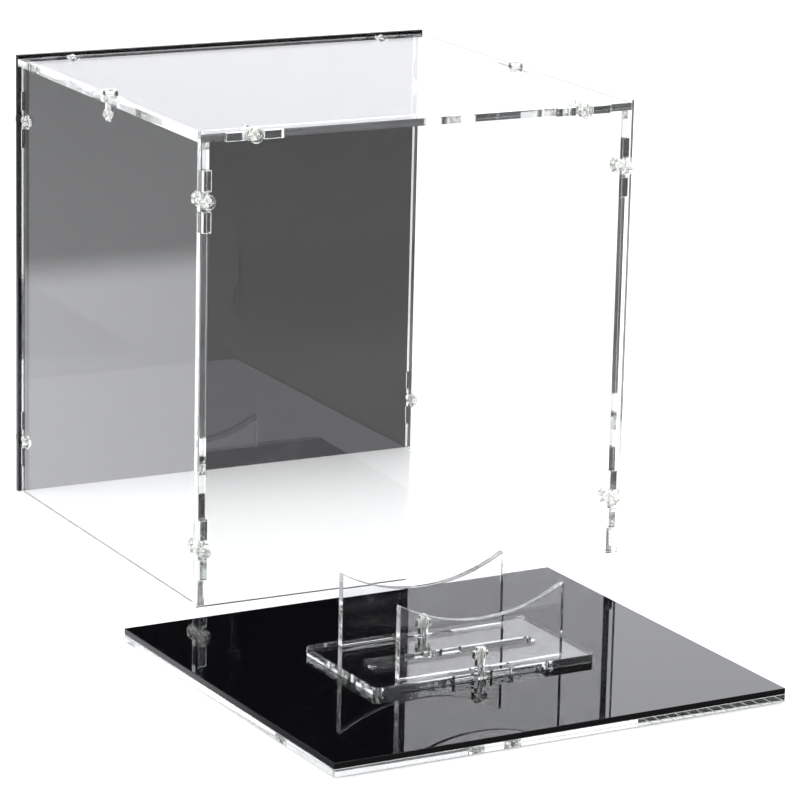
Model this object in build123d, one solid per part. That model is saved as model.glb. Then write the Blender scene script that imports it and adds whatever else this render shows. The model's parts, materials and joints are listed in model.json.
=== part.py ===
from build123d import *
import os
from math import sqrt

# Display case for one round keepsake, laser cut from flat acrylic sheet. A low base carries a stand
# with two cradle plates, and a five-walled cover, open below, lifts off. Here the cover stands behind
# the base, on the same level. Every joint is two tabs and a screw that draws a trapped nut.
# Lengths are in millimetres and angles in degrees. The origin is the middle of the base's underside,
# with +X to the right, +Y to the back and +Z up.

# Sheet stock
clear_sheet = 4.0
black_sheet = 3.0

# Cover
wall_width = 250.0        # front and back walls
wall_height = 247.0
cover_depth = 239.0       # from the front wall's face to the back wall's face
edge_margin = 2.0         # how far a slotted plate runs on past the sheet that it holds
cover_across = 58.6       # middle of the front wall, to the right of the base's middle
cover_behind = 30.6       # middle of the front wall, behind the base's back edge
cover_turn = -1.6         # the cover was set down a little askew

# Base
base_depth = 219.0
base_width = wall_width - 2 * edge_margin        # flush with the outer faces of the side walls

# Stand
stand_width = 122.5
stand_depth = 71.5
stand_corner = 3.0
cradle_width = 91.0
cradle_spacing = 57.0     # between the middles of the two cradle plates
cradle_middle = 24.7      # height of a cradle plate at the lowest point of its arc
cradle_tip = 0.5          # flat left at each end of the arc
seat_diameter = 186.0     # the sphere that the two arcs hold
seat_fit = 0.3
window_length = 93.0      # open slot between the cradles
window_width = 9.0
window_corner = 3.0

# Tab and nut joint
tab_length = 10.5
tab_offset = 10.5         # from the screw to the middle of each tab
joint_inset = 30.0        # from the end of a joined edge to the nearest screw
slot_fit = 0.15
nut_setback = 4.8         # from the joined edge to the near face of the nut
notch_runout = 2.0        # notch left beyond the nut for the screw's tip

# Screws and nuts
screw_diameter = 4.0
screw_hole = 4.5
head_diameter = 8.0
head_height = 3.0
head_hole = 9.0           # clears a head inside the lower base plate
recess_span = 4.4
recess_width = 1.0
recess_depth = 1.5
cover_screw = 12.0
stand_screw = 16.0
nut_flats = 7.0
nut_thickness = 3.2
thread_fit = 0.15

# Places that follow from the sizes above
side_height = wall_height - edge_margin - clear_sheet
side_middle = wall_width / 2 - edge_margin - clear_sheet / 2
top_middle = wall_height - edge_margin - clear_sheet / 2
back_inside = cover_depth - black_sheet
plate_top = clear_sheet + black_sheet            # top face of the base
stand_top = plate_top + clear_sheet              # top face of the stand's foot plate

# Directions
right = (1, 0, 0)
back = (0, 1, 0)
up = (0, 0, 1)
front = (0, -1, 0)
down = (0, 0, -1)


def plate(plane, outline, thickness):
    """A flat sheet: an outline drawn on a plane, given its thickness along the plane's normal."""
    return extrude(plane * outline, amount=thickness)


def site(place, along, out):
    """One joint: its screw's axis leaves the slotted plate at a place, with the tabs in a row along it."""
    return Plane(origin=place, x_dir=along, z_dir=out)


def pair(shape):
    """The same shape on both sides of the screw."""
    return Pos(-tab_offset, 0) * shape + Pos(tab_offset, 0) * shape


def tabs(joint, through):
    """Two tabs of the joined sheet, as long as the slotted plate is thick."""
    return extrude(joint * pair(Rectangle(tab_length, clear_sheet)), amount=-through)


def slots(joint, through):
    """What is cut from the slotted plate: a slot for each tab and a clearance hole for the screw."""
    slot = Rectangle(tab_length + 2 * slot_fit, clear_sheet + 2 * slot_fit)
    return extrude(joint * (pair(slot) + Circle(screw_hole / 2)), amount=-through)


def notch(joint, through):
    """What is cut from the joined sheet: a T of a slot for the screw and a pocket that holds the nut."""
    edge = joint.offset(-through)
    cut_across = clear_sheet + 2 * slot_fit
    reach = nut_setback + nut_thickness + notch_runout
    shank = extrude(edge * Rectangle(screw_diameter + 2 * slot_fit, cut_across), amount=-reach)
    pocket_face = edge.offset(-nut_setback + slot_fit)
    pocket_outline = Rectangle(nut_flats + 2 * slot_fit, cut_across)
    pocket = extrude(pocket_face * pocket_outline, amount=-(nut_thickness + 2 * slot_fit))
    return shank + pocket


def screw(joint, length):
    """A cheese head screw with a cross recess, its head on the slotted plate's outer face."""
    head = Cylinder(head_diameter / 2, head_height, align=(Align.CENTER, Align.CENTER, Align.MIN))
    shank = Cylinder(screw_diameter / 2, length, align=(Align.CENTER, Align.CENTER, Align.MAX))
    arm = Box(recess_span, recess_width, 2 * recess_depth)
    cross = Pos(0, 0, head_height) * (arm + Rot(0, 0, 90) * arm)
    return joint.location * (head + shank - cross)


def nut(joint, through):
    """A hexagon nut in its pocket, two flats against the pocket's ends and its corners proud of the sheet."""
    outline = RegularPolygon(nut_flats / 2, 6, major_radius=False, rotation=30)
    outline -= Circle(screw_diameter / 2 + thread_fit)
    return extrude(joint.offset(-through - nut_setback) * outline, amount=-nut_thickness)


def group(pieces):
    """Like fasteners that share one node, each a solid of its own."""
    return Compound(children=[piece.solid() for piece in pieces])


# Joints of the cover, in the cover's own frame: origin in the middle of the front wall's foot.
heights = (joint_inset, side_height - joint_inset)
widths = (joint_inset - wall_width / 2, wall_width / 2 - joint_inset)
depth_middle = (clear_sheet + back_inside) / 2
top_face = wall_height - edge_margin
joints = {
    "front_left": [site((-side_middle, 0, z), up, front) for z in heights],
    "front_right": [site((side_middle, 0, z), up, front) for z in heights],
    "front_top": [site((x, 0, top_middle), right, front) for x in widths],
    "back_left": [site((-side_middle, cover_depth, z), up, back) for z in heights],
    "back_right": [site((side_middle, cover_depth, z), up, back) for z in heights],
    "back_top": [site((x, cover_depth, top_middle), right, back) for x in widths],
    "top_left": [site((-side_middle, depth_middle, top_face), back, up)],
    "top_right": [site((side_middle, depth_middle, top_face), back, up)],
}
held_by = {"front": clear_sheet, "back": black_sheet, "top": clear_sheet}


def slotted(body, name):
    """Cuts a plate for every joint whose name starts with its own."""
    for edge, places in joints.items():
        if edge.startswith(name):
            for joint in places:
                body -= slots(joint, held_by[name])
    return body


def joined(body, name):
    """Gives a sheet its tabs and notches at every joint whose name ends with its own."""
    for edge, places in joints.items():
        if edge.endswith(name):
            through = held_by[edge.split("_")[0]]
            for joint in places:
                body = body + tabs(joint, through) - notch(joint, through)
    return body


# Cover walls
wall_outline = Rectangle(wall_width, wall_height, align=(Align.CENTER, Align.MIN))
front_plane = Plane(origin=(0, clear_sheet, 0), x_dir=right, z_dir=front)
front_panel = slotted(plate(front_plane, wall_outline, clear_sheet), "front")
back_plane = Plane(origin=(0, cover_depth, 0), x_dir=right, z_dir=front)
back_panel = slotted(plate(back_plane, wall_outline, black_sheet), "back")
side_outline = Rectangle(back_inside - clear_sheet, side_height, align=Align.MIN)


def side_wall(x, name):
    """A side wall between the front and back walls and under the top, standing from x to the right."""
    foot = Plane(origin=(x, clear_sheet, 0), x_dir=back, z_dir=right)
    return joined(plate(foot, side_outline, clear_sheet), name)


left_panel = side_wall(-side_middle - clear_sheet / 2, "left")
right_panel = side_wall(side_middle - clear_sheet / 2, "right")
top_outline = Rectangle(wall_width, back_inside - clear_sheet, align=(Align.CENTER, Align.MIN))
top_plane = Plane(origin=(0, clear_sheet, side_height), x_dir=right, z_dir=up)
top_panel = slotted(joined(plate(top_plane, top_outline, clear_sheet), "_top"), "top")

cover = {
    "front_panel": front_panel,
    "back_panel": back_panel,
    "left_panel": left_panel,
    "right_panel": right_panel,
    "top_panel": top_panel,
}
for edge, places in joints.items():
    through = held_by[edge.split("_")[0]]
    plural = "s" if len(places) > 1 else ""
    cover[edge + "_screw" + plural] = group([screw(joint, cover_screw) for joint in places])
    cover[edge + "_nut" + plural] = group([nut(joint, through) for joint in places])
cover_place = Pos(cover_across, base_depth / 2 + cover_behind, 0) * Rot(0, 0, cover_turn)
nodes = {name: cover_place * piece for name, piece in cover.items()}

# Base: a black plate on a clear one. The stand's screws come up from below, their heads in the clear
# plate's holes, so the base stands flat.
cradle_y = (-cradle_spacing / 2, cradle_spacing / 2)
stand_sites = [site((0, y, plate_top), right, down) for y in cradle_y]
base_outline = Rectangle(base_width, base_depth)
screw_places = Locations([(0, y) for y in cradle_y])
lower_outline = base_outline - screw_places * Circle(head_hole / 2)
upper_outline = base_outline - screw_places * Circle(screw_hole / 2)
nodes["base_lower_plate"] = plate(Plane.XY, lower_outline, clear_sheet)
nodes["base_top_plate"] = plate(Plane.XY.offset(clear_sheet), upper_outline, black_sheet)

# Stand: a foot plate with a long open slot, and two upright cradle plates with an arc each.
foot_outline = RectangleRounded(stand_width, stand_depth, stand_corner)
foot_outline -= RectangleRounded(window_length, window_width, window_corner)
foot_plate = plate(Plane.XY.offset(plate_top), foot_outline, clear_sheet)
for joint in stand_sites:
    foot_plate -= slots(joint, clear_sheet)
nodes["stand_foot_plate"] = foot_plate

# The seat's sphere touches the inner edges of the arcs, so their radius is that of its slice there.
seat_slice = cradle_spacing / 2 - clear_sheet / 2
arc_radius = sqrt((seat_diameter / 2 + seat_fit) ** 2 - seat_slice ** 2)
arc_half = cradle_width / 2 - cradle_tip
arc_centre = cradle_middle + arc_radius
tip_height = arc_centre - sqrt(arc_radius ** 2 - arc_half ** 2)
cradle_outline = Rectangle(cradle_width, tip_height, align=(Align.CENTER, Align.MIN))
cradle_outline -= Pos(0, arc_centre) * Circle(arc_radius)


def cradle(y, joint):
    """An upright plate with a concave top edge, tabbed into the foot plate at its middle."""
    foot = Plane(origin=(0, y + clear_sheet / 2, stand_top), x_dir=right, z_dir=front)
    body = plate(foot, cradle_outline, clear_sheet)
    return body + tabs(joint, clear_sheet) - notch(joint, clear_sheet)


nodes["stand_front_cradle"] = cradle(cradle_y[0], stand_sites[0])
nodes["stand_back_cradle"] = cradle(cradle_y[1], stand_sites[1])
nodes["stand_screws"] = group([screw(site((0, y, clear_sheet), right, down), stand_screw) for y in cradle_y])
nodes["stand_nuts"] = group([nut(joint, clear_sheet) for joint in stand_sites])

os.makedirs("parts", exist_ok=True)
for name, piece in nodes.items():
    export_step(piece, "parts/" + name + ".step")
print(len(nodes), "nodes, cradle tips", round(stand_top + tip_height, 2), "above the underside")
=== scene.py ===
import json
from math import radians, tau

import bmesh
import bpy
import numpy as np
from mathutils import Euler, Matrix, Vector


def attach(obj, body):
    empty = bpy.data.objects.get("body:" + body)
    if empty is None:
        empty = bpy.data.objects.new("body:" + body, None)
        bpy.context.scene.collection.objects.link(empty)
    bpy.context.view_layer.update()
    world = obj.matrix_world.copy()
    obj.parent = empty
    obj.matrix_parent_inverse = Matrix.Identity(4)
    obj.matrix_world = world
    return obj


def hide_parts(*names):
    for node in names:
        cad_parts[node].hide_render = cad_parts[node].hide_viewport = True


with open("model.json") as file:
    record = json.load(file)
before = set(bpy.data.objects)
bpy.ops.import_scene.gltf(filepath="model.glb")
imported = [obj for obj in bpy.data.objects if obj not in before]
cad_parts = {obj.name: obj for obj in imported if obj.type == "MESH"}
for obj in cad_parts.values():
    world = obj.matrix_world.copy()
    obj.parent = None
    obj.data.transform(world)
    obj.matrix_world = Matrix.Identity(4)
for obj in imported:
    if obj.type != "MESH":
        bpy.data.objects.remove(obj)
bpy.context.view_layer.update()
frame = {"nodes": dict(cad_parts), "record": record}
nodes = frame["nodes"]
bodies = frame["record"]["behaviour"]["bodies"]
body_of_node = {name: body for body, names in bodies.items() for name in names}


# Camera. A long lens, a little above the case and to its left, so the base's front corner points at the
# viewer. Its place is in metres from the middle of the base's underside.
camera_place = (-0.9475, -1.6087, 0.6218)
camera_turn = -29.664     # degrees, looking to the right of straight back
camera_tilt = -14.51
camera_roll = 1.366
sensor_width = 36         # millimetres
view_lens = 180.97
view_reach = 50           # metres
light_turns = 128         # light runs far inside a sheet before it leaves by a cut edge

lens = bpy.data.cameras.new("photo_camera")
lens.sensor_width = sensor_width
lens.lens = view_lens
lens.clip_end = view_reach
camera = bpy.data.objects.new("photo_camera", lens)
bpy.context.scene.collection.objects.link(camera)
level_aim = Euler((radians(90 + camera_tilt), 0, radians(camera_turn))).to_matrix()
camera.matrix_world = (level_aim @ Matrix.Rotation(radians(camera_roll), 3, "Z")).to_4x4()
camera.location = camera_place
bpy.context.scene.camera = camera
bpy.context.scene.view_settings.view_transform = "Standard"
light_paths = bpy.context.scene.cycles
light_paths.max_bounces = light_turns
light_paths.transmission_bounces = light_turns
light_paths.glossy_bounces = light_turns


# Studio. A lit wall behind the table, a soft ceiling, and a dark room on the viewer's side, with a window at
# the viewer's right that whitens the sheets' cut edges. Wall, ceiling and window each have a brightness, an
# aim, and the cosines of the angles from it at which their light begins and is full.
daylight = "FAFBFF"       # what gloss shows of the table and the room is a little cool
room_dark = 0.01
ceiling_bright, ceiling_aim, ceiling_edge = 0.9, (0.0, 0.0, 1.0), (0.35, 0.75)
wall_bright, wall_aim, wall_edge = 1.8, (0.43, 0.75, 0.50), (0.753, 0.988)
window_bright, window_aim, window_edge = 1.8, (0.48, -0.82, 0.31), (0.85, 0.97)
turns_inside = 3.5        # only light that has turned more often than this inside a sheet shows the window


def linear(hex_code):
    """An sRGB hex colour as linear red, green and blue: each channel through the sRGB curve, and alpha 1."""
    srgb = np.array([int(hex_code[i:i + 2], 16) / 255 for i in (0, 2, 4)])
    rgb = np.where(srgb <= 0.04045, srgb / 12.92, ((srgb + 0.055) / 1.055) ** 2.4)
    return (*rgb.tolist(), 1.0)


def add(tree, kind, values=None, **settings):
    """Adds one shader node with its settings. Each value goes to the input of that name or number, as a
    link if it is another node's output."""
    new = tree.nodes.new(kind)
    for key, value in settings.items():
        setattr(new, key, value)
    for key, value in (values or {}).items():
        if isinstance(value, bpy.types.NodeSocket):
            tree.links.new(value, new.inputs[key])
        else:
            new.inputs[key].default_value = value
    return new


world = bpy.data.worlds.new("studio")
bpy.context.scene.world = world
world.use_nodes = True
room_tree = world.node_tree
room_tree.nodes.clear()
direction = add(room_tree, "ShaderNodeTexCoord").outputs["Generated"]


def lit(bright, aim, edge):
    """A level of light that goes smoothly from the dark room's to a bright one as the cosine of the angle
    between the direction and an aim goes from the edge's first value to its second."""
    facing = add(room_tree, "ShaderNodeVectorMath", {0: direction, 1: aim}, operation="DOT_PRODUCT")
    return add(room_tree, "ShaderNodeMapRange",
               {"Value": facing.outputs["Value"], "From Min": edge[0], "From Max": edge[1],
                "To Min": room_dark, "To Max": bright},
               interpolation_type="SMOOTHSTEP").outputs[0]


room = add(room_tree, "ShaderNodeMath", {0: lit(ceiling_bright, ceiling_aim, ceiling_edge),
                                         1: lit(wall_bright, wall_aim, wall_edge)},
           operation="MAXIMUM").outputs[0]
ray = add(room_tree, "ShaderNodeLightPath").outputs
turned = add(room_tree, "ShaderNodeMath", {0: ray["Glossy Depth"], 1: turns_inside},
             operation="GREATER_THAN").outputs[0]
turned = add(room_tree, "ShaderNodeMath", {0: turned, 1: ray["Is Transmission Ray"]},
             operation="MULTIPLY").outputs[0]
window = add(room_tree, "ShaderNodeMath", {0: turned, 1: lit(window_bright, window_aim, window_edge)},
             operation="MULTIPLY").outputs[0]
room = add(room_tree, "ShaderNodeMath", {0: room, 1: window}, operation="MAXIMUM").outputs[0]
level = add(room_tree, "ShaderNodeMix", {"Factor": ray["Is Camera Ray"], 2: room, 3: 1.0}).outputs[0]
paper = add(room_tree, "ShaderNodeBackground", {"Color": linear(daylight), "Strength": level})
add(room_tree, "ShaderNodeOutputWorld", {"Surface": paper.outputs[0]})


# Table. White gloss laminate, which goes on to a plain white ground a few metres away. What is glossy sees
# on it a painted pool of light, brightest in a band under the cover, and dimmer before and behind that.
table_white = "F4F4F4"
table_below = 0.0002      # metres left under the case, so that no two surfaces share a plane
table_reach = 9.0         # metres from the middle to each edge
table_rough = (0.08, 0.14)
table_haze = 3.0          # per metre: the gloss changes over about 300 mm
table_fill = 0.3          # added to the table where it is seen, for a white ground
# Painted shade: the table seen through a clear sheet gets less fill, so it reads greyer inside the cover.
table_fill_painted_shade = 0.1   # the same where it is seen through a clear sheet
far_from, far_to = 1.5, 4.0           # metres from the case over which the ground goes on to plain white
far_fill = 0.6            # added there
# Painted light: where the pool painted on the table lies, how it dims, and how bright it is to what is
# glossy.
band_middle = 0.45        # metres behind the base's middle
band_near, band_far = 0.38, 0.5       # metres from there over which the table dims
painted_pool_bright, painted_pool_dim = 2.1, 0.45


def material(name):
    """A new node material, emptied, and its tree."""
    made = bpy.data.materials.new(name)
    made.use_nodes = True
    made.node_tree.nodes.clear()
    return made, made.node_tree


white_gloss, table_tree = material("white_gloss_laminate")
ray = add(table_tree, "ShaderNodeLightPath").outputs
spot = add(table_tree, "ShaderNodeTexCoord").outputs["Object"]
reach = add(table_tree, "ShaderNodeVectorMath", {0: spot}, operation="LENGTH").outputs["Value"]
far = add(table_tree, "ShaderNodeMapRange",
          {"Value": reach, "From Min": far_from, "From Max": far_to, "To Max": far_fill},
          interpolation_type="SMOOTHSTEP").outputs[0]
direct = add(table_tree, "ShaderNodeMath", {0: far, 1: table_fill}, operation="ADD").outputs[0]
# Painted shade: the smaller fill for the table where it is seen through a clear sheet.
inside = add(table_tree, "ShaderNodeMath", {0: far, 1: table_fill_painted_shade}, operation="ADD").outputs[0]
fill = add(table_tree, "ShaderNodeMath", {0: ray["Is Camera Ray"], 1: direct},
           operation="MULTIPLY").outputs[0]
fill = add(table_tree, "ShaderNodeMath", {0: ray["Is Transmission Ray"], 1: inside, 2: fill},
           operation="MULTIPLY_ADD").outputs[0]
tone = add(table_tree, "ShaderNodeTexNoise", {"Vector": spot, "Scale": table_haze}).outputs[0]
rough = add(table_tree, "ShaderNodeMapRange",
            {"Value": tone, "To Min": table_rough[0], "To Max": table_rough[1]}).outputs[0]
surface = add(table_tree, "ShaderNodeBsdfPrincipled",
              {"Base Color": linear(table_white), "Roughness": rough,
               "Emission Color": linear("FFFFFF"), "Emission Strength": fill})
depth = add(table_tree, "ShaderNodeSeparateXYZ", {0: spot}).outputs["Y"]
away = add(table_tree, "ShaderNodeMath", {0: depth, 1: band_middle}, operation="SUBTRACT").outputs[0]
away = add(table_tree, "ShaderNodeMath", {0: away}, operation="ABSOLUTE").outputs[0]
painted_pool_level = add(table_tree, "ShaderNodeMapRange",
           {"Value": away, "From Min": band_near, "From Max": band_far,
            "To Min": painted_pool_bright, "To Max": painted_pool_dim},
           interpolation_type="SMOOTHSTEP").outputs[0]
# Painted light: what is glossy sees of the table is this emission, a painted pool brightest in the band.
painted_pool = add(table_tree, "ShaderNodeEmission", {"Color": linear(daylight), "Strength": painted_pool_level})
# A ray that went sharply through a sheet counts as glossy too, so it is taken off what is reflected.
reflected = add(table_tree, "ShaderNodeMath", {0: ray["Is Glossy Ray"], 1: ray["Is Transmission Ray"]},
                operation="SUBTRACT", use_clamp=True).outputs[0]
ground = add(table_tree, "ShaderNodeMixShader", {0: reflected, 1: surface.outputs[0], 2: painted_pool.outputs[0]})
add(table_tree, "ShaderNodeOutputMaterial", {"Surface": ground.outputs[0]})

floor_mesh = bpy.data.meshes.new("table_top")
corners = [(x * table_reach, y * table_reach, -table_below) for x, y in ((-1, -1), (1, -1), (1, 1), (-1, 1))]
floor_mesh.from_pydata(corners, [], [(0, 1, 2, 3)])
floor_mesh.materials.append(white_gloss)
floor = bpy.data.objects.new("table_top", floor_mesh)
bpy.context.scene.collection.objects.link(floor)


# Lamps. Two wide softboxes, one to the left and one above, with white cloth fronts, so that every shadow
# has a soft edge. Places and sizes are in metres, and power is in watts.
def lamp(name, place, target, width, height, power):
    """A soft rectangular lamp that faces a point."""
    light = bpy.data.lights.new(name, "AREA")
    light.shape = "RECTANGLE"
    light.size = width
    light.size_y = height
    light.energy = power
    holder = bpy.data.objects.new(name, light)
    bpy.context.scene.collection.objects.link(holder)
    to_lamp = Vector(place) - Vector(target)
    holder.matrix_world = Matrix.Translation(place) @ to_lamp.to_track_quat("Z", "Y").to_matrix().to_4x4()
    return holder


lamp("left_softbox", place=(-2.2, 0.4, 1.8), target=(0, 0.1, 0.1), width=2.4, height=1.8, power=42)
top_softbox = lamp("top_softbox", place=(0.4, 0.8, 2.6), target=(0, 0.1, 0), width=3.2, height=2.6, power=49)
top_softbox.visible_glossy = False    # the black sheets stay black from above


# Clear sheets: the cover's front, sides and top, the stand and the lower base plate. Cast acrylic (PMMA),
# laser cut: the faces are as poured, and the cut edges are melted smooth, with faint upright striations.
acrylic_ior = 1.49
edge_ease = 0.00025       # metres, the melted round along each cut edge
ease_steps = 2
crease = 40               # degrees between two faces, past which their edge is a real one
air_gap = 0.00003         # metres that each sheet stays inside its solid, so that air parts it from the next
same_corner = 1e-6        # metres
same_plane = 0.4          # degrees
along_normal = 0.9        # a face is a broad one if its normal is this much along the sheet's own
swell_scale = 14.0        # per metre: poured faces swell over about 70 mm
swell_height = 0.001      # metres
line_scale = 900.0        # per metre: cut lines about 1 mm wide, twice their real width, so that they show
line_height = 0.0002      # metres
sheet_shade = "F6F7F7"    # what each face lets through of a lamp's light on its way to the table


def piece_from(name, mesh):
    """A shown piece in the place of one node of the frame: it rides on the node's body and hides it."""
    piece = bpy.data.objects.new(name + "_finished", mesh)
    bpy.context.scene.collection.objects.link(piece)
    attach(piece, body_of_node[name])
    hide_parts(name)
    return piece


def cut_sheet(name, across, face_finish, edge_finish):
    """A sheet as its solid gives it: the loose triangles are merged, flat stretches become single faces, each
    corner goes in by the air gap along the normals of the faces that meet there, and faces whose normal is
    along the sheet's own normal get one finish and the cut edges the other. Each corner's place in the
    sheet's own plane is kept for the striations, which run straight through the sheet."""
    work = bmesh.new()
    work.from_mesh(nodes[name].data)
    bmesh.ops.remove_doubles(work, verts=work.verts, dist=same_corner)
    bmesh.ops.dissolve_limit(work, angle_limit=radians(same_plane), verts=work.verts, edges=work.edges)
    mesh = bpy.data.meshes.new(name + "_finished")
    work.to_mesh(mesh)
    work.free()
    mesh.materials.append(face_finish)
    mesh.materials.append(edge_finish)
    normals = np.empty(len(mesh.polygons) * 3)
    mesh.polygons.foreach_get("normal", normals)
    normals = normals.reshape(-1, 3)
    cut = np.abs(normals @ np.array(across)) < along_normal
    mesh.polygons.foreach_set("material_index", cut.astype(np.int32))
    sides = np.empty(len(mesh.polygons), np.int32)
    mesh.polygons.foreach_get("loop_total", sides)
    corner = np.empty(len(mesh.loops), np.int32)
    mesh.loops.foreach_get("vertex_index", corner)
    points = np.empty(len(mesh.vertices) * 3)
    mesh.vertices.foreach_get("co", points)
    points = points.reshape(-1, 3)
    in_sheet = points - np.outer(points @ np.array(across), across)
    mesh.attributes.new("in_sheet", "FLOAT_VECTOR", "POINT").data.foreach_set("vector", in_sheet.ravel())
    np.subtract.at(points, corner, air_gap * np.repeat(normals, sides, axis=0))
    mesh.vertices.foreach_set("co", points.ravel())
    piece = piece_from(name, mesh)
    ease = piece.modifiers.new("melted_edge", "BEVEL")
    ease.width = edge_ease
    ease.segments = ease_steps
    ease.limit_method = "ANGLE"
    ease.angle_limit = radians(crease)
    ease.harden_normals = True


def let_light_by(tree, body, shade):
    """The body's shader for all but shadow rays, which pass with the shade's colour, so that the clear pieces
    shade the table as lightly as real ones."""
    clear = add(tree, "ShaderNodeBsdfTransparent", {"Color": linear(shade)})
    shadow = add(tree, "ShaderNodeLightPath").outputs["Is Shadow Ray"]
    mix = add(tree, "ShaderNodeMixShader", {0: shadow, 1: body.outputs[0], 2: clear.outputs[0]})
    add(tree, "ShaderNodeOutputMaterial", {"Surface": mix.outputs[0]})


def clear_acrylic(name, tint, roughness, swell, transmission, striation):
    """Clear acrylic, through which light passes at its own index. Cast faces swell very slightly over
    centimetres. A laser's cut leaves fine lines across the edge, and it scatters a little of the light."""
    made, tree = material(name)
    place = add(tree, "ShaderNodeTexCoord").outputs["Object"]
    wave = add(tree, "ShaderNodeTexNoise",
               {"Vector": place, "Scale": swell_scale, "Detail": 1.0}).outputs[0]
    bump = add(tree, "ShaderNodeBump",
               {"Strength": swell, "Distance": swell_height, "Height": wave}).outputs[0]
    if striation:
        in_sheet = add(tree, "ShaderNodeAttribute", attribute_name="in_sheet").outputs["Vector"]
        lines = add(tree, "ShaderNodeTexNoise",
                    {"Vector": in_sheet, "Scale": line_scale, "Detail": 2.0}).outputs[0]
        bump = add(tree, "ShaderNodeBump", {"Strength": striation, "Distance": line_height,
                                            "Height": lines, "Normal": bump}).outputs[0]
    body = add(tree, "ShaderNodeBsdfPrincipled",
               {"Base Color": linear(tint), "Roughness": roughness, "IOR": acrylic_ior,
                "Transmission Weight": transmission, "Normal": bump})
    let_light_by(tree, body, sheet_shade)
    return made


def points_of(name):
    """The corners of a node's solid, one row each, in metres."""
    points = np.empty(len(nodes[name].data.vertices) * 3)
    nodes[name].data.vertices.foreach_get("co", points)
    return points.reshape(-1, 3)


clear_face = clear_acrylic("cast_clear_acrylic", "FEFEFE", roughness=0.0, swell=0.02, transmission=1.0,
                           striation=0)
clear_edge = clear_acrylic("laser_cut_clear_edge", "FAFCFB", roughness=0.025, swell=0.05, transmission=0.98,
                           striation=0.06)
# The cover stands a little askew, so its own right and back come from how the front wall's corners lie.
front_outline = points_of("front_panel")[:, :2]
cover_right = np.linalg.svd(front_outline - front_outline.mean(0))[2][0]
cover_right = np.array([*cover_right, 0]) * np.sign(cover_right[0])
cover_back = np.cross((0, 0, 1), cover_right)
right, back, up = np.eye(3)
for name, across in (("front_panel", cover_back), ("left_panel", cover_right), ("right_panel", cover_right),
                     ("top_panel", up), ("base_lower_plate", up), ("stand_foot_plate", up),
                     ("stand_front_cradle", back), ("stand_back_cradle", back)):
    cut_sheet(name, across, clear_face, clear_edge)


# Black sheets: the cover's back wall and the top of the base. Black cast acrylic (PMMA), 3 mm, with a
# polished face that mirrors the room, and the same laser-cut edge.
black_tone = "08080A"
wipe_scale = 22.0         # per metre: haze from wiping, in patches about 45 mm across
wipe_from, wipe_to = 0.35, 0.7        # the part of the pattern's range that shows


def black_acrylic(name, roughness_low, roughness_high, gloss):
    """Solid black acrylic: its colour is nearly nothing and all that shows is the gloss. A faint haze from
    wiping changes the roughness over a few centimetres."""
    made, tree = material(name)
    place = add(tree, "ShaderNodeTexCoord").outputs["Object"]
    haze = add(tree, "ShaderNodeTexNoise", {"Vector": place, "Scale": wipe_scale, "Detail": 4.0}).outputs[0]
    rough = add(tree, "ShaderNodeMapRange",
                {"Value": haze, "From Min": wipe_from, "From Max": wipe_to,
                 "To Min": roughness_low, "To Max": roughness_high}).outputs[0]
    body = add(tree, "ShaderNodeBsdfPrincipled",
               {"Base Color": linear(black_tone), "Roughness": rough,
                "IOR": acrylic_ior, "Specular IOR Level": gloss})
    add(tree, "ShaderNodeOutputMaterial", {"Surface": body.outputs[0]})
    return made


black_face = black_acrylic("cast_black_acrylic", roughness_low=0.0, roughness_high=0.02, gloss=0.5)
black_edge = black_acrylic("laser_cut_black_edge", roughness_low=0.2, roughness_high=0.3, gloss=0.2)
cut_sheet("back_panel", cover_back, black_face, black_edge)
cut_sheet("base_top_plate", up, black_face, black_edge)


# Screws: M4, with a squarish domed head and a cross recess, moulded in clear polycarbonate. One runs between
# each pair of tabs, and the thread shows through the sheets. Sizes are in millimetres.
thread_pitch = 0.7
thread_depth = 0.38
thread_root = 1.6         # so that the crest is 0.02 inside the solid's shank
thread_runout = 0.8       # the thread fades out over this much of the tip
thread_relief = 0.4       # and over this much under the head
head_radius = 4.0
head_height = 3.0
dome_power = 3.6          # 2 is a round dome, and more is squarer
dome_start = 0.06         # radians from the pole to the first ring
dome_rings = 22
recess_reach = 2.3
recess_half_width = 0.55
recess_depth = 1.6
recess_wall = 0.25        # the recess' wall sinks over this width
recess_rise = 0.12        # the recess' floor rises outwards
cover_screw = 12
stand_screw = 16
rows_per_turn = 6
around = 64
plastic_ior = 1.585
plastic_shade = "E7E7E5"  # as sheet_shade
flow_scale = 400.0        # per metre: marks of the melt's flow, about 2.5 mm
flow_haze = 0.05
two_solids = 0.03         # metres: a fastener node that spreads further holds two solids
upright = 0.5             # a fastener is upright if its outward direction rises or falls more than this
per_metre = 1000          # millimetres


def closed_grid(rows, columns):
    """The quads and triangles of a grid of points that closes round its columns, with a single point before
    its first row and one after its last."""
    ring = np.arange(rows * columns).reshape(rows, columns) + 1
    over = np.roll(ring, -1, axis=1)
    quads = np.stack([ring[:-1], ring[1:], over[1:], over[:-1]], axis=-1).reshape(-1, 4)
    pole, tip = np.zeros(columns, int), np.full(columns, rows * columns + 1)
    return quads, np.vstack([np.column_stack([pole, ring[0], over[0]]),
                             np.column_stack([tip, over[-1], ring[-1]])])


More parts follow.
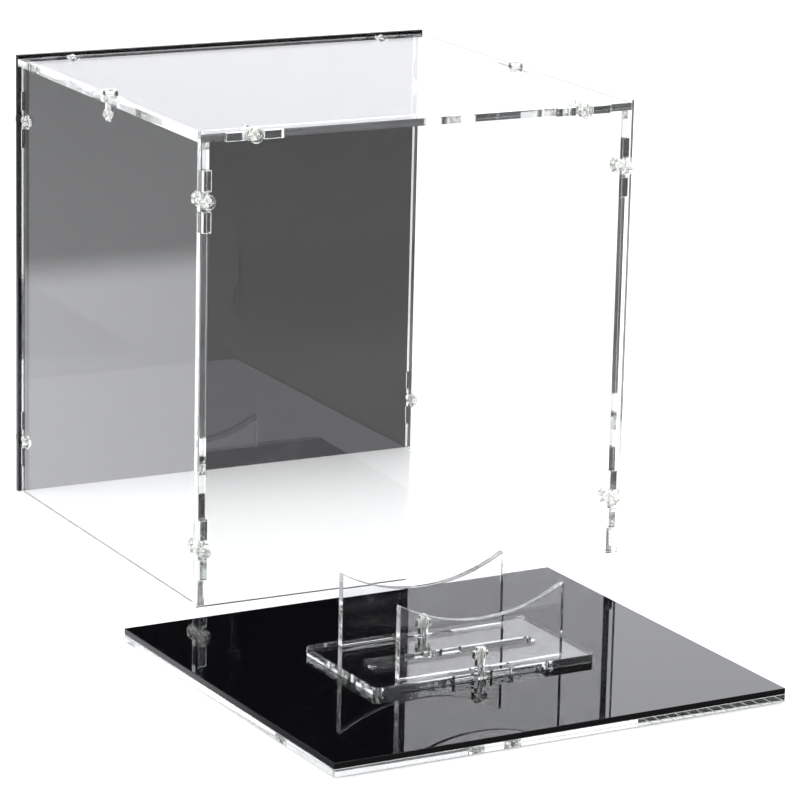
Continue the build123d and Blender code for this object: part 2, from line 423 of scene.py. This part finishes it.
def screw_shape(length):
    """Points and faces, the seat at z = 0 and the shank down. The head is a rounded dome, radius R sin^(2/n)
    and height H cos^(2/n) of an angle that runs from the pole to the rim, less a cross that sinks smoothly
    where a point is inside an arm. The shank's radius follows a triangle wave of height and turn, which is
    the thread."""
    turn = np.linspace(0, tau, around, endpoint=False)
    dome = np.linspace(dome_start, tau / 4, dome_rings)[:, None]
    radius = head_radius * np.sin(dome) ** (2 / dome_power) + 0 * turn
    height = head_height * np.clip(np.cos(dome), 0, 1) ** (2 / dome_power) + 0 * turn
    x, y = radius * np.cos(turn), radius * np.sin(turn)
    arm = np.minimum(np.maximum(np.abs(x) - recess_reach, np.abs(y) - recess_half_width),
                     np.maximum(np.abs(y) - recess_reach, np.abs(x) - recess_half_width))
    sunk = np.clip(0.5 - arm / recess_wall, 0, 1)
    floor_rise = 1 - recess_rise * radius ** 2 / recess_reach
    height = height - recess_depth * sunk * sunk * (3 - 2 * sunk) * floor_rise
    run = np.arange(0, length, thread_pitch / rows_per_turn)[:, None]
    wave = np.abs(2 * ((run / thread_pitch + turn / tau) % 1) - 1)
    fade = np.clip((length - run) / thread_runout, 0, 1) * np.clip(run / thread_relief, 0, 1)
    radius = np.vstack([radius, thread_root + thread_depth * wave * fade])
    height = np.vstack([height, -run + 0 * turn])
    ring = np.stack([radius * np.cos(turn), radius * np.sin(turn), height], axis=-1).reshape(-1, 3)
    points = np.vstack([(0, 0, head_height - recess_depth), ring, (0, 0, -length)])
    return points, *closed_grid(len(radius), around)


def solid_axes(name, outward):
    """The solids of a fastener node, one row each: the middle of its axis, and its highest place along the
    outward direction. The vertices are parted along the direction in which they spread most."""
    points = points_of(name)
    along = points @ outward
    flat = points - along[:, None] * outward
    spread = np.linalg.svd(flat - flat.mean(0), full_matrices=False)[2][0]
    side = (flat - flat.mean(0)) @ spread
    parts = [side < 0, side >= 0] if np.ptp(side) > two_solids else [np.full(len(side), True)]
    return [((flat[part].min(0) + flat[part].max(0)) / 2, along[part].max()) for part in parts]


def set_in_place(name, shape, outward, finish, above_zero):
    """One piece per node: the same millimetre shape at each of the node's solids, turned so that its z runs
    outward, with z = 0 as far below the solid's highest place as the last value says."""
    points, quads, triangles = shape
    sideways = cover_right if abs(outward[2]) > upright else np.cross(outward, up)
    turned = np.array([sideways, np.cross(outward, sideways), outward])
    all_points, all_faces = [], []
    for middle, high in solid_axes(name, outward):
        start = len(points) * len(all_points)
        all_faces += (quads + start).tolist() + (triangles + start).tolist()
        place = middle + outward * (high - above_zero / per_metre)
        all_points.append(place + points / per_metre @ turned)
    mesh = bpy.data.meshes.new(name + "_finished")
    mesh.from_pydata(np.vstack(all_points).tolist(), [], all_faces)
    mesh.materials.append(finish)
    mesh.shade_smooth()
    mesh.set_sharp_from_angle(angle=radians(crease))
    piece_from(name, mesh)


def clear_plastic(name, tint, roughness):
    """Moulded clear polycarbonate, slightly hazy where the melt flowed, so the small shapes sparkle with
    darker hollows."""
    made, tree = material(name)
    place = add(tree, "ShaderNodeTexCoord").outputs["Object"]
    flow = add(tree, "ShaderNodeTexNoise", {"Vector": place, "Scale": flow_scale, "Detail": 2.0}).outputs[0]
    rough = add(tree, "ShaderNodeMapRange",
                {"Value": flow, "To Min": roughness, "To Max": roughness + flow_haze}).outputs[0]
    body = add(tree, "ShaderNodeBsdfPrincipled",
               {"Base Color": linear(tint), "Roughness": rough, "IOR": plastic_ior,
                "Transmission Weight": 1.0})
    let_light_by(tree, body, plastic_shade)
    return made


fastener_finish = clear_plastic("moulded_clear_polycarbonate", "FAFBF7", roughness=0.05)
screw_nodes = {name: outward for edge, outward in (("front", -cover_back), ("back", cover_back), ("top", up))
               for name in nodes if name.startswith(edge) and "screw" in name}
cover_screw_shape = screw_shape(cover_screw)
for name, outward in screw_nodes.items():
    set_in_place(name, cover_screw_shape, outward, fastener_finish, head_height)
set_in_place("stand_screws", screw_shape(stand_screw), -up, fastener_finish, head_height)


# Nuts: M4 hexagon nuts of the same plastic, trapped in the notches, with chamfered corners and a real
# thread. Sizes are in millimetres.
nut_half_flats = 3.5
nut_height = 3.2
nut_bore = 2.12
nut_thread = 0.125
chamfer_depth = np.array([0, 0, 0.12, 0.3, 0.5, 0.8])         # of each ring of the chamfer, below a face
chamfer_reach = np.array([-0.8, 0, 0.2, 0.35, 0.52, 0.8])     # of the same ring, out from the flats
nut_around = 72


def nut_shape():
    """Points and faces round a closed ring profile, the near face at z = 0 and the far one below. Outside,
    the radius is that of a hexagon, a / cos of the angle from the middle of a flat, cut down near both faces
    by a rounded chamfer. Inside, the bore follows the thread's triangle wave."""
    turn = np.linspace(0, tau, nut_around, endpoint=False)
    hexagon = nut_half_flats / np.cos((turn + tau / 12) % (tau / 6) - tau / 12)
    upper = np.minimum(hexagon, nut_half_flats + chamfer_reach[:, None])
    outside_z = np.concatenate([-chamfer_depth, chamfer_depth[::-1] - nut_height])
    run = np.arange(0, nut_height, thread_pitch / rows_per_turn)
    wave = np.abs(2 * ((run[:, None] / thread_pitch + turn / tau) % 1) - 1)
    inside = (nut_bore + nut_thread * (1 - wave))[::-1]
    radius = np.vstack([upper, upper[::-1], inside])
    height = np.concatenate([outside_z, -run[::-1]])[:, None] + 0 * turn
    ring = np.arange(radius.size).reshape(radius.shape)
    down, over = np.roll(ring, -1, axis=0), np.roll(ring, -1, axis=1)
    quads = np.stack([ring, down, np.roll(down, -1, axis=1), over], axis=-1).reshape(-1, 4)
    points = np.stack([radius * np.cos(turn), radius * np.sin(turn), height], axis=-1).reshape(-1, 3)
    return points, quads, np.empty((0, 3), int)


hexagon_nut = nut_shape()
for name, outward in screw_nodes.items():
    set_in_place(name.replace("screw", "nut"), hexagon_nut, outward, fastener_finish, 0)
set_in_place("stand_nuts", hexagon_nut, -up, fastener_finish, 0)
